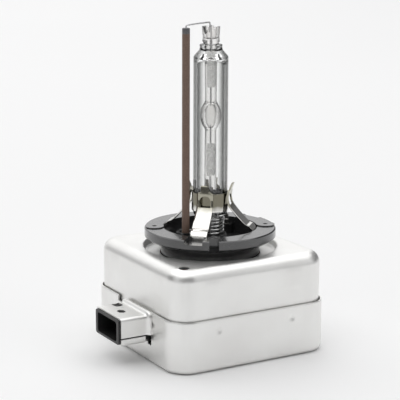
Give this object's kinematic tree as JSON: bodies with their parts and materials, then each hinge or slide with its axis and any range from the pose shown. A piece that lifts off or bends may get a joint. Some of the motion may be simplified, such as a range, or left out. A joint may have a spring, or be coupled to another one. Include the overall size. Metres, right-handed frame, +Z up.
{
  "type": "headlight bulb",
  "caption": "Xenon discharge headlight bulb: quartz burner clamped in a keyed round cap on a square sheet-metal igniter case with a side connector.",
  "frame": {"origin": "centre of the igniter case's underside, on the burner's axis", "axes": "+Z up along the burner, -X out of the connector's mouth"},
  "size_m": [0.0509, 0.0428, 0.0788],
  "materials": {
    "case_steel": "satin drawn sheet with a soft grain",
    "black_plastic": "moulded, fine matt texture",
    "cap_plastic": "moulded thermoset, semi-gloss",
    "silicone": "moulded silicone",
    "housing_plastic": "glass-filled, matt",
    "bobbin_plastic": "glass-filled, matt",
    "ferrite": "sintered, dull",
    "enamelled_wire": "enamelled copper, fine turns",
    "copper_foil": "rolled foil",
    "alumina": "sintered, white",
    "nickel": "plated",
    "film_case": "moulded box",
    "resistor_body": "lacquered",
    "tinned_brass": "tin-plated",
    "lead_frame": "stamped",
    "spring_steel": "drawn wire",
    "clamp_steel": "bright rolled strip",
    "quartz": "clear fused quartz",
    "vessel_quartz": "clear fused quartz, faintly clouded vessel",
    "tungsten": "drawn",
    "molybdenum": "rolled foil",
    "lead_wire": "drawn nickel",
    "brown_ceramic": "unglazed, fine grain",
    "grey_glaze": "glazed"
  },
  "bodies": {
    "root": {"lower_can": "case_steel", "upper_can": "case_steel", "connector_housing": "black_plastic", "connector_pin_1": "tinned_brass", "connector_pin_2": "tinned_brass", "connector_pin_3": "tinned_brass", "cap_ring": "cap_plastic", "case_gasket": "silicone", "igniter_housing": "housing_plastic", "housing_lid": "housing_plastic", "ferrite_core": "ferrite", "transformer_bobbin": "bobbin_plastic", "secondary_winding": "enamelled_wire", "primary_winding": "copper_foil", "spark_gap_tube": "alumina", "spark_gap_electrodes": "nickel", "ignition_capacitor": "film_case", "capacitor_leads": "tinned_brass", "bleeder_resistor": "resistor_body", "resistor_leads": "tinned_brass", "choke_core": "ferrite", "choke_winding": "enamelled_wire", "trigger_strip": "lead_frame", "supply_strip": "lead_frame", "return_strip": "lead_frame", "bridge_strip": "lead_frame", "choke_strip": "lead_frame", "hv_terminal": "lead_frame", "contact_spring": "spring_steel", "clamp_collar": "clamp_steel", "clamp_leg_front": "clamp_steel", "clamp_leg_right": "clamp_steel", "clamp_leg_back": "clamp_steel", "clamp_leg_left": "clamp_steel", "outer_envelope": "quartz", "arc_tube": "vessel_quartz", "upper_electrode": "tungsten", "lower_electrode": "tungsten", "upper_foil": "molybdenum", "lower_foil": "molybdenum", "upper_lead": "lead_wire", "lower_lead": "lead_wire", "return_wire": "lead_wire", "ceramic_sleeve": "brown_ceramic", "sleeve_tip": "grey_glaze"}
  },
  "joints": []
}
